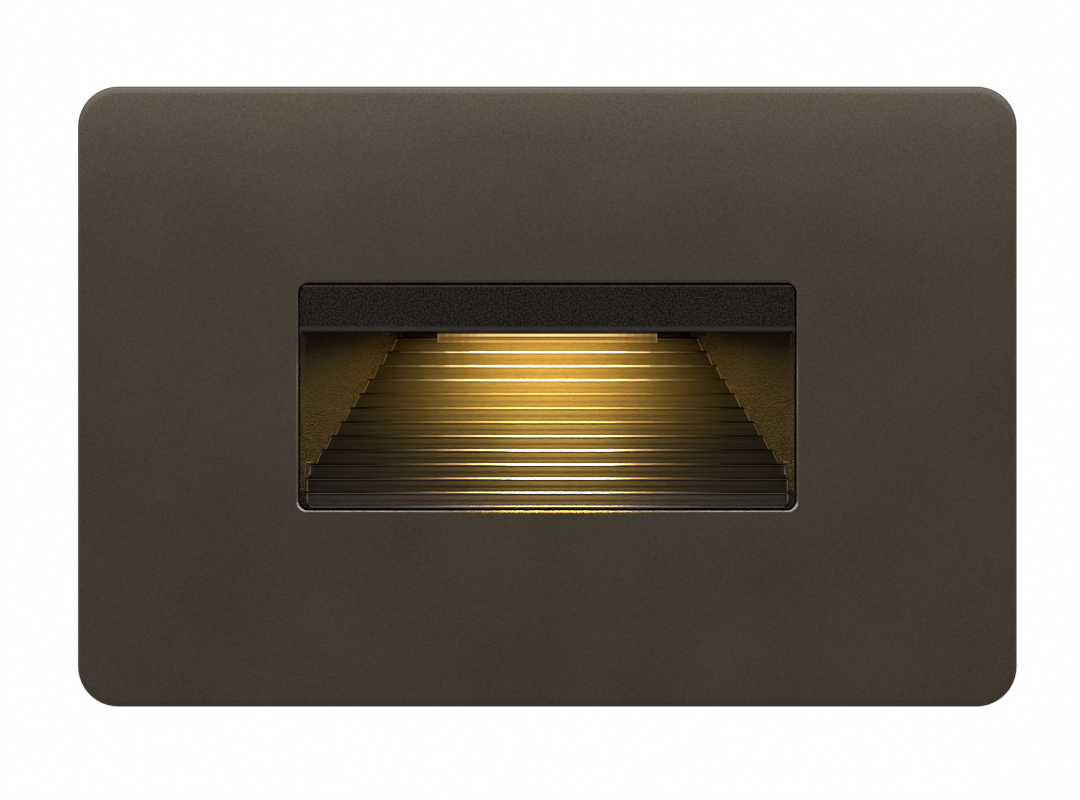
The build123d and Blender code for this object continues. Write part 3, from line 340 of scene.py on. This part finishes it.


# ribbed reflector: dark and satin, with metal noses whose reflectance is a painted highlight

reflectorLook = {
    "tones": ((0.0086, 0.0067, 0.0038), (0.0134, 0.0104, 0.0060)),
    "lowTones": ((0.0058, 0.0046, 0.0034), (0.0090, 0.0072, 0.0054)),
    "sillTones": ((0.0125, 0.0112, 0.0108), (0.0190, 0.0170, 0.0165)),
    "sheen": (1.0, 0.86, 0.60),
    "gloss": 0.07,
    "grain": 0.35,
    "rough": 0.66,
    "noseRough": 0.25,
    "depth": 0.0015,
    "strength": 0.4,
    "noseMiddle": {
        "low": (0.052, 0.055, 0.110),
        "mid": (0.018, 0.016, 0.015),
        "high": (0.080, 0.090, 0.230),
    },
    "noseSides": {
        "low": (0.033, 0.028, 0.024),
        "mid": (0.033, 0.028, 0.024),
        "high": (0.055, 0.052, 0.055),
    },
    "topNoseSides": (0.006, 0.004, 0.003),
    "shadeTone": (0.0030, 0.0014, 0.0006),
    "deepShade": (0.0004, 0.0001, 0.0001),
    "highShade": (0.2, 0.6),
    "edgeHighlight": (0.13, 0.10, 0.065),
    "shoulderPaintedLight": (0.016, 0.012, 0.009),
    "shoulderEdgeHighlight": (0.15, 0.11, 0.075),
    # heights and half widths over which a look comes in, in millimetres
    "lowPart": (-6.2, -3.2),
    "highPart": (0.8, 1.9),
    "topPart": (4.6, 5.2),
    "glintSides": (9.0, 20.0),
    "leaningEnds": (27.31, 27.34),
    "leaningSlope": 0.6594,
    "shoulderEnds": (28.35, 28.65),
    "stepEnds": (28.87, 28.90),
    "uprightEnds": (29.18, 29.21),
    # a rib runs from 0 at its nose to 1 at the next nose up
    "firstNoseZ": -13.3,
    "pitch": 1.72,
    "wholeRibs": 20,
    "ribParts": {"nose": (0.82, 0.86), "shade": (0.725, 0.765), "bead": (0.74, 0.86)},
    "beadDepth": 0.10,
    "waves": ((0.0, 0.0), (0.14, 0.30), (0.26, 0.0), (0.46, 0.65), (0.72, 0.0), (1.0, 0.0)),
    "waveDepth": 0.08,
    "zones": {
        "leaning": ("Z", -8.1, 8.0, 0.02),
        "upright": ("Z", -13.2, -7.75, 0.02),
        "shoulder": ("Z", -9.45, -8.20, 0.1),
        "lowRibs": ("Z", -12.2, -6.0, 2.5),
        "sill": ("Z", -13.3, -11.8, 0.1),
    },
}


def ribbedSatin(look):
    finish = newFinish("darkRibbedMoulding", look["tones"][0], look["rough"])
    socketOf(finish, "Specular Tint").default_value = (*look["sheen"], 1)
    socketOf(finish, "Specular IOR Level").default_value = look["gloss"]
    zones = zonesOf(finish, look)
    place = placeOn(finish)
    # how far up its own rib a point lies; whole ribs are added to keep the count above zero
    up = times(finish, place["Z"], 1 / (look["pitch"] * mm))
    up = plus(finish, up, look["wholeRibs"] - look["firstNoseZ"] / look["pitch"])
    up = workOut(finish, "FRACT", up)
    rib = {name: spread(finish, up, 0, 1, *ends) for name, ends in look["ribParts"].items()}
    # painted highlight along the ramp's ends: their edge, which leans, steps at the shoulder and stands up, is
    # made paler
    aside = workOut(finish, "ABSOLUTE", place["X"])
    leaning = plus(finish, aside, times(finish, place["Y"], look["leaningSlope"]))
    leaning = times(finish, rising(finish, leaning, *look["leaningEnds"]), zones["leaning"])
    upright = times(finish, rising(finish, aside, *look["uprightEnds"]), zones["upright"])
    step = times(finish, rising(finish, aside, *look["stepEnds"]), zones["shoulder"])
    edge = workOut(finish, "MAXIMUM", leaning, workOut(finish, "MAXIMUM", upright, step))
    shoulder = times(finish, zones["shoulder"], rising(finish, aside, *look["shoulderEnds"]))
    # the low ribs are darker, and the lowest rib at the sill is paler and greyer
    fine = grain(finish, look["grain"], 2.0)
    mottle = spread(finish, fine, 0, 1)
    upperRibs, lowRibs, sill = (
        blendTones(finish, mottle, *look[name]) for name in ("tones", "lowTones", "sillTones")
    )
    painted = blendTones(finish, zones["lowRibs"], upperRibs, lowRibs)
    painted = blendTones(finish, zones["sill"], painted, sill)
    # painted shade: dark lines below the noses, darkest on the lowest ribs
    lowPart = falling(finish, place["Z"], *look["lowPart"])
    highPart = rising(finish, place["Z"], *look["highPart"])
    shade = plus(finish, lowPart, spread(finish, highPart, *look["highShade"], 0, 1))
    shadeTone = blendTones(finish, lowPart, look["shadeTone"], look["deepShade"])
    shaded = blendTones(finish, times(finish, rib["shade"], shade), painted, shadeTone)
    # painted light in the shadowed notch at each shoulder, with a brighter painted highlight on its edge
    shaded = blendTones(finish, shoulder, shaded, look["shoulderPaintedLight"])
    edgeHighlight = blendTones(finish, shoulder, look["edgeHighlight"], look["shoulderEdgeHighlight"])
    edgeLit = blendTones(finish, edge, shaded, edgeHighlight)
    # painted highlight: the noses' reflectance changes with height, and from their middle to their sides, to
    # shape their bright lines
    middle, sides = (
        blendTones(finish, highPart, blendTones(finish, lowPart, tones["mid"], tones["low"]), tones["high"])
        for tones in (look["noseMiddle"], look["noseSides"])
    )
    sides = blendTones(finish, rising(finish, place["Z"], *look["topPart"]), sides, look["topNoseSides"])
    noseGlint = blendTones(finish, rising(finish, aside, *look["glintSides"]), middle, sides)
    joinUp(finish, blendTones(finish, rib["nose"], edgeLit, noseGlint), socketOf(finish, "Base Color"))
    joinUp(finish, rib["nose"], socketOf(finish, "Metallic"))
    rough = spread(finish, rib["nose"], look["rough"], look["noseRough"], 0, 1)
    joinUp(finish, rough, socketOf(finish, "Roughness"))
    # soft waves between the noses, then the beads of the noses, then the fine grain
    waves = raised(finish, ramp(finish, up, look["waves"]), look["waveDepth"])
    beads = raised(finish, rib["bead"], look["beadDepth"], under=waves)
    emboss(finish, fine, look["depth"], look["strength"], beads)
    return finish


dress(ribbedSatin(reflectorLook), "ribbed_reflector")
print("well and reflector finished")


# lens: frosted acrylic that glows, with the bright lines along its front

lensLook = {
    "body": (0.70, 0.45, 0.18),
    "paleBody": (0.86, 0.60, 0.28),
    "rough": 0.35,
    "grain": 0.3,
    "depth": 0.01,
    "strength": 0.5,
    "glow": (1.0, 0.55, 0.12),
    "bodyStrength": 0.5,
    "barTop": 7.9,
    "frontGap": 0.03,
    "steps": 28,
    "halfWidth": 13.4,
    # tones are given at these marks, from the middle of the lens to its end
    "marks": (0.0, 7.6, 10.6, 13.4),
    "lines": {
        "lensGapShadow": {
            "z": (7.66, 7.92),
            "tones": ((0.010, 0.005, 0.002),) * 4,
        },
        "lensTopLine": {
            "z": (7.33, 7.66),
            "tones": ((1.00, 0.84, 0.34), (0.92, 0.62, 0.24), (0.42, 0.25, 0.073), (0.17, 0.095, 0.025)),
        },
        "lensShadowLine": {
            "z": (7.17, 7.33),
            "tones": ((0.21, 0.055, 0.014), (0.19, 0.055, 0.014), (0.19, 0.083, 0.013), (0.10, 0.052, 0.011)),
        },
        "lensFace": {
            "z": (6.85, 7.17),
            "tones": ((0.46, 0.19, 0.024), (0.36, 0.155, 0.020), (0.212, 0.098, 0.0144), (0.10, 0.052, 0.011)),
        },
        "lensLowLine": {
            "z": (6.60, 6.85),
            "tones": ((0.92, 0.56, 0.12), (0.78, 0.44, 0.095), (0.392, 0.220, 0.042), (0.14, 0.075, 0.017)),
        },
    },
    "endLine": {"width": 0.13, "z": (6.60, 7.66), "forward": 0.01, "tone": (0.26, 0.16, 0.06)},
    "strip": {"colour": (0.02, 0.015, 0.01), "plainRough": 0.5, "rough": (0.4, 0.6), "grain": 0.4},
}


def litAcrylic(look):
    finish = newFinish("litAcrylic", look["body"], look["rough"])
    socketOf(finish, "Emission Color").default_value = (*look["glow"], 1)
    socketOf(finish, "Emission Strength").default_value = look["bodyStrength"]
    frost = grain(finish, look["grain"], 2.0)
    milky = blendTones(finish, spread(finish, frost, 0, 1), look["body"], look["paleBody"])
    joinUp(finish, milky, socketOf(finish, "Base Color"))
    emboss(finish, frost, look["depth"], look["strength"])
    return finish


dress(litAcrylic(lensLook), "lens")


def toneAlong(marks, tones, place):
    # the colour at a place between marks, mixed from the colours of its neighbours
    for start, end, first, second in zip(marks, marks[1:], tones, tones[1:]):
        if place <= end:
            share = (place - start) / (end - start)
            return [a + (b - a) * share for a, b in zip(first, second)]
    return list(tones[-1])


def stripGlow(name, tone, look):
    glow = newFinish(name, look["colour"], look["plainRough"])
    socketOf(glow, "Emission Color").default_value = (*tone, 1)
    socketOf(glow, "Emission Strength").default_value = 1.0
    socketOf(glow, "Specular IOR Level").default_value = 0.0
    rough = spread(glow, grain(glow, look["grain"], 2.0), *look["rough"])
    joinUp(glow, rough, socketOf(glow, "Roughness"))
    return glow


def stripMesh(name, y, spans, heights):
    # upright rectangles, one for each span along X, all in millimetres
    lowZ, highZ = heights
    points, faces = [], []
    for left, right in spans:
        faces.append(range(len(points), len(points) + 4))
        points += [(left, y, lowZ), (right, y, lowZ), (right, y, highZ), (left, y, highZ)]
    mesh = bpy.data.meshes.new(name)
    mesh.from_pydata([[value * mm for value in point] for point in points], [], faces)
    return mesh


def addStrip(name, mesh):
    strip = bpy.data.objects.new(name, mesh)
    bpy.context.scene.collection.objects.link(strip)
    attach(strip, "fixture")


def makeLensLines(look):
    # thin lit strips just in front of the lens bar, dimmer towards both ends: painted glow and edge
    # highlights, with painted shadow in the gap under the hood and below the top line
    barFront = min(v.co.y for v in nodes["lens"].data.vertices if v.co.z < look["barTop"] * mm)
    y = barFront / mm - look["frontGap"]
    steps, halfWidth = look["steps"], look["halfWidth"]
    width = 2 * halfWidth / steps
    lefts = [step * width - halfWidth for step in range(steps)]
    for name, line in look["lines"].items():
        mesh = stripMesh(name, y, [(left, left + width) for left in lefts], line["z"])
        for step in range(steps // 2):
            tone = toneAlong(look["marks"], line["tones"], halfWidth - (step + 0.5) * width)
            mesh.materials.append(stripGlow(name + "Step" + str(step + 1), tone, look["strip"]))
        for step, polygon in enumerate(mesh.polygons):
            polygon.material_index = min(step, steps - 1 - step)
        addStrip(name, mesh)
    end = look["endLine"]
    inner = halfWidth - end["width"]
    spans = [(-halfWidth, -inner), (inner, halfWidth)]
    mesh = stripMesh("lensEndLines", y - end["forward"], spans, end["z"])
    mesh.materials.append(stripGlow("lensEndGlow", end["tone"], look["strip"]))
    addStrip("lensEndLines", mesh)


makeLensLines(lensLook)

chipLook = {
    "colour": (0.9, 0.62, 0.10),
    "glow": (1.0, 0.72, 0.35),
    "strength": 6.0,
    "grain": 0.2,
    "plainRough": 0.3,
    "rough": (0.22, 0.4),
}


def ledPhosphor(look):
    finish = newFinish("ledPhosphor", look["colour"], look["plainRough"])
    socketOf(finish, "Emission Color").default_value = (*look["glow"], 1)
    socketOf(finish, "Emission Strength").default_value = look["strength"]
    rough = spread(finish, grain(finish, look["grain"], 2.0), *look["rough"])
    joinUp(finish, rough, socketOf(finish, "Roughness"))
    return finish


dress(ledPhosphor(chipLook), "led_chips")
print("lens and chips lit")


# strap, screws and seals

strapLook = {
    "zincSteel": {"tones": ((0.50, 0.50, 0.49), (0.66, 0.66, 0.63)), "grain": 0.8, "patch": 6,
                  "rough": (0.28, 0.46), "metal": 1.0, "depth": 0.006},
    "greenSteel": {"tones": ((0.03, 0.22, 0.07), (0.06, 0.34, 0.12)), "grain": 0.4,
                   "rough": (0.3, 0.45), "metal": 0.5, "depth": 0.005},
    "blackOxide": {"tones": ((0.02, 0.02, 0.022), (0.04, 0.04, 0.042)), "grain": 0.3,
                   "rough": (0.32, 0.5), "metal": 0.6, "depth": 0.004},
    "sealFoam": {"tones": ((0.02, 0.02, 0.021), (0.055, 0.055, 0.057)), "grain": 0.35,
                 "rough": (0.85, 1.0), "depth": 0.08, "strength": 1.0},
    "mouldedRubber": {"tones": ((0.018, 0.018, 0.018), (0.032, 0.032, 0.032)), "grain": 0.3,
                      "rough": (0.6, 0.75), "depth": 0.01},
}
madeAlike = {
    "zincSteel": (
        "mounting_strap", "box_screws", "well_screws", "reflector_screws", "led_board_screws",
        "heat_sink_screws", "driver_housing_screws", "cover_screws", "driver_board_screws",
    ),
    "greenSteel": ("ground_screw",),
    "blackOxide": ("set_screw_left", "set_screw_right"),
    "sealFoam": ("wall_gasket",),
    "mouldedRubber": ("well_gasket", "lens_gasket", "lead_grommet", "cover_gasket"),
}
for name, look in strapLook.items():
    dress(madeFinish(name, look), *madeAlike[name])
print("strap and seals finished")


# light engine behind the hood

engineLook = {
    "whiteMask": {"tones": ((0.76, 0.76, 0.73), (0.84, 0.84, 0.81)), "grain": 0.25,
                  "rough": (0.3, 0.4), "depth": 0.003},
    "greyPad": {"tones": ((0.38, 0.43, 0.52), (0.48, 0.53, 0.62)), "grain": 0.3,
                "rough": (0.6, 0.75), "depth": 0.01},
    "sawnAluminium": {"tones": ((0.62, 0.62, 0.63), (0.78, 0.78, 0.79)), "grain": 0.25,
                      "rough": (0.28, 0.44), "metal": 1.0, "depth": 0.006, "stretch": (1, 0.06, 1)},
}
for name, node in (("whiteMask", "led_board"), ("greyPad", "thermal_pad"), ("sawnAluminium", "heat_sink")):
    dress(madeFinish(name, engineLook[name]), node)


# driver housing and what is in it

housingPlastic = {"tones": ((0.017, 0.017, 0.018), (0.032, 0.032, 0.033)), "grain": 0.28,
                  "rough": (0.45, 0.62), "depth": 0.02, "strength": 0.8}
chipPlastic = {"tones": ((0.02, 0.02, 0.02), (0.035, 0.035, 0.035)), "grain": 0.2,
               "rough": (0.45, 0.6), "depth": 0.008}
driverLook = {
    "driver_housing": housingPlastic,
    "rear_cover": housingPlastic,
    "cable_bushing": {"tones": ((0.03, 0.03, 0.031), (0.05, 0.05, 0.051)), "grain": 0.4,
                      "rough": (0.35, 0.48), "depth": 0.006},
    "driver_board": {"tones": ((0.015, 0.13, 0.05), (0.035, 0.24, 0.09)), "grain": 1.6,
                     "rough": (0.25, 0.4), "depth": 0.01, "stretch": (1, 1, 0.2)},
    "transformer_core": {"tones": ((0.05, 0.05, 0.055), (0.09, 0.09, 0.095)), "grain": 0.2,
                         "rough": (0.5, 0.7), "depth": 0.01},
    "transformer_winding": {"tones": ((0.60, 0.42, 0.05), (0.78, 0.60, 0.12)), "grain": 0.8,
                            "rough": (0.25, 0.4), "depth": 0.02, "stretch": (1, 6, 1)},
    "bulk_capacitor": {"tones": ((0.02, 0.03, 0.07), (0.05, 0.06, 0.12)), "grain": 0.6,
                       "rough": (0.25, 0.38), "depth": 0.01},
    "film_capacitor": {"tones": ((0.60, 0.32, 0.03), (0.74, 0.44, 0.07)), "grain": 0.5,
                       "rough": (0.28, 0.4), "depth": 0.006},
    "bridge_rectifier": chipPlastic,
    "switching_chip": chipPlastic,
    "fuse": {"tones": ((0.55, 0.60, 0.60), (0.80, 0.84, 0.84)), "grain": 1.2,
             "rough": (0.05, 0.15), "depth": 0.004},
    "varistor": {"tones": ((0.02, 0.08, 0.36), (0.05, 0.16, 0.52)), "grain": 0.7,
                 "rough": (0.25, 0.4), "depth": 0.015},
    "input_terminal_block": {"tones": ((0.05, 0.27, 0.08), (0.09, 0.38, 0.13)), "grain": 0.3,
                             "rough": (0.4, 0.55), "depth": 0.01},
    "output_connector": {"tones": ((0.70, 0.70, 0.66), (0.82, 0.82, 0.78)), "grain": 0.3,
                         "rough": (0.4, 0.55), "depth": 0.008},
    "led_lead_red": {"tones": ((0.45, 0.02, 0.012), (0.62, 0.04, 0.025)), "grain": 0.5,
                     "rough": (0.3, 0.42), "depth": 0.008},
    "led_lead_black": {"tones": ((0.012, 0.012, 0.012), (0.028, 0.028, 0.028)), "grain": 0.5,
                       "rough": (0.3, 0.42), "depth": 0.008},
}
for node, look in driverLook.items():
    words = node.split("_")
    dress(madeFinish(words[0] + "".join(word.title() for word in words[1:]), look), node)
print("driver housing finished")


# floor, lamps and camera

studioLook = {
    "floor": {"size": 1.6, "z": -0.30, "steps": 8, "tone": (0.86, 0.86, 0.85),
              "paleTone": (0.88, 0.88, 0.875), "grain": 30.0, "rough": 0.8},
    "roomLight": 0.75,
    # in metres and watts; a lamp with a body stands close to the object and moves with it
    "lamps": {
        "softKey": {"at": (0, -0.75, 0.50), "to": (0, 0, 0), "size": (1.0, 0.6), "power": 2.4},
        "nearStrip": {"at": (0, -0.0216, 0.045), "to": (0, -0.0076, 0.024), "size": (0.34, 0.012),
                      "power": 0.033, "tone": (0.95, 0.98, 1.06), "body": "fixture"},
        "closeStrip": {"at": (0, -0.0125, 0.0420), "to": (0, -0.0076, 0.0360), "size": (0.16, 0.009),
                       "power": 0.0098, "tone": (0.95, 0.98, 1.06), "body": "fixture"},
        "topStrip": {"at": (0, -0.006, 0.048), "to": (0, -0.006, 0.037), "size": (0.20, 0.008),
                     "power": 0.021, "body": "fixture"},
        "lowBeam": {"at": (0.0016, -0.003, 0.0076), "to": (0.0016, -0.003, -0.01), "size": (0.013, 0.003),
                    "power": 0.004, "tone": (1.0, 0.62, 0.10), "beam": 60, "body": "fixture"},
        "midBeam": {"at": (0.0016, 0.0022, 0.0064), "to": (0.0016, 0.0022, -0.01), "size": (0.013, 0.003),
                    "power": 0.001, "tone": (1.0, 0.62, 0.10), "beam": 40, "body": "fixture"},
    },
    # lamps that shine down, in millimetres, with a level of light for each width
    "glow": {
        "layerGap": 0.01,
        "reach": 10,
        "under": {"depth": 7.2, "gap": 0.05, "tone": (1.0, 0.62, 0.09),
                  "widths": {42: 0.8, 36: 1.4, 31: 3.6, 26: 10, 21: 16, 16: 19, 11: 19, 6: 17}},
        "behind": {"depth": 4.6, "y": 10.2, "z": 7.86, "tone": (1.0, 0.62, 0.07),
                   "widths": {42: 0.7, 36: 1.4, 31: 3.6, 25: 10, 19: 18, 14: 17, 8: 14}},
        "core": {"depth": 0.9, "gap": 0.14, "tone": (1.0, 0.80, 0.36),
                 "widths": {42: 3.6, 36: 5.4, 30: 12, 25: 27, 19: 48, 13: 46, 6: 34}},
        "backCore": {"depth": 0.5, "y": 12.05, "z": 7.75, "tone": (1.0, 0.80, 0.36),
                     "widths": {42: 1.5, 36: 2.5, 30: 5, 25: 11, 19: 20, 13: 20, 6: 14}},
    },
}


def aimed(start, end):
    # turns that point an object's -Z from start to end
    x, y, z = (b - a for a, b in zip(start, end))
    return atan2(sqrt(x * x + y * y), -z), 0.0, atan2(-x, y)


def addLamp(name, at, to, size, power, tone=(1, 1, 1), beam=180, body=None):
    lamp = bpy.data.lights.new(name, "AREA")
    lamp.shape = "RECTANGLE"
    lamp.size, lamp.size_y = size
    lamp.energy = power
    lamp.color = tone
    lamp.spread = radians(beam)
    thing = bpy.data.objects.new(name, lamp)
    thing.location = at
    thing.rotation_euler = aimed(at, to)
    thing.visible_camera = False
    bpy.context.scene.collection.objects.link(thing)
    if body:
        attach(thing, body)


for name, lamp in studioLook["lamps"].items():
    addLamp(name, **lamp)


def lightGlow(look):
    # the LEDs' light, brightest in the middle: under the lens and just behind it
    low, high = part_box("lens")
    barY = (low.y + high.y) / 2 / mm
    for kind in ("under", "behind", "core", "backCore"):
        spot = look[kind]
        y = spot.get("y", barY)
        topZ = low.z / mm - spot["gap"] if "gap" in spot else spot["z"]
        for count, (width, level) in enumerate(spot["widths"].items()):
            z = topZ - count * look["layerGap"]
            size = (width * mm, spot["depth"] * mm)
            addLamp(kind + "Glow" + str(count + 1), (0, y * mm, z * mm), (0, y * mm, (z - look["reach"]) * mm),
                    size, level * pi * size[0] * size[1], spot["tone"], body="fixture")


lightGlow(studioLook["glow"])


def makeFloor(look):
    half, steps = look["size"] / 2, look["steps"]
    row = steps + 1
    points = [(-half + 2 * half * i / steps, -half + 2 * half * j / steps, look["z"])
              for j in range(row) for i in range(row)]
    faces = [(j * row + i, j * row + i + 1, (j + 1) * row + i + 1, (j + 1) * row + i)
             for j in range(steps) for i in range(steps)]
    mesh = bpy.data.meshes.new("studioFloor")
    mesh.from_pydata(points, [], faces)
    finish = newFinish("paleFloor", look["tone"], look["rough"])
    dust = spread(finish, grain(finish, look["grain"], 3.0), 0, 1)
    joinUp(finish, blendTones(finish, dust, look["tone"], look["paleTone"]), socketOf(finish, "Base Color"))
    mesh.materials.append(finish)
    floor = bpy.data.objects.new("studioFloor", mesh)
    bpy.context.scene.collection.objects.link(floor)


makeFloor(studioLook["floor"])


def lightRoom(strength):
    # white for the camera and in reflections, and a soft level of light on the object
    world = bpy.data.worlds.new("studioRoom")
    world.use_nodes = True
    tree = world.node_tree
    back = tree.nodes["Background"]
    path = tree.nodes.new("ShaderNodeLightPath")
    seen = path.outputs["Is Camera Ray"]
    for ray in ("Is Transmission Ray", "Is Glossy Ray"):
        either = tree.nodes.new("ShaderNodeMath")
        either.operation = "MAXIMUM"
        tree.links.new(seen, either.inputs[0])
        tree.links.new(path.outputs[ray], either.inputs[1])
        seen = either.outputs["Value"]
    level = tree.nodes.new("ShaderNodeMapRange")
    level.inputs["To Min"].default_value = strength
    level.inputs["To Max"].default_value = 1.0
    tree.links.new(seen, level.inputs["Value"])
    tree.links.new(level.outputs["Result"], back.inputs["Strength"])
    back.inputs["Color"].default_value = (1, 1, 1, 1)
    bpy.context.scene.world = world


lightRoom(studioLook["roomLight"])
bpy.context.scene.view_settings.view_transform = "Standard"

# viewWidth is how much of the plate's front plane the picture shows across
cameraLook = {
    "distance": 2.4,
    "frontY": -0.0076,
    "shiftX": -0.000895,
    "shiftZ": -0.000414,
    "viewWidth": 0.13145,
    "sensor": 36,
    "clip": (0.1, 20),
}


def placeCamera(look):
    eye = bpy.data.cameras.new("studioCamera")
    eye.sensor_fit = "HORIZONTAL"
    eye.sensor_width = look["sensor"]
    eye.lens = look["sensor"] * look["distance"] / look["viewWidth"]
    eye.clip_start, eye.clip_end = look["clip"]
    camera = bpy.data.objects.new("studioCamera", eye)
    camera.location = (look["shiftX"], look["frontY"] - look["distance"], look["shiftZ"])
    camera.rotation_euler = (radians(90), 0, 0)
    bpy.context.scene.collection.objects.link(camera)
    bpy.context.scene.camera = camera


placeCamera(cameraLook)
print("studio ready")
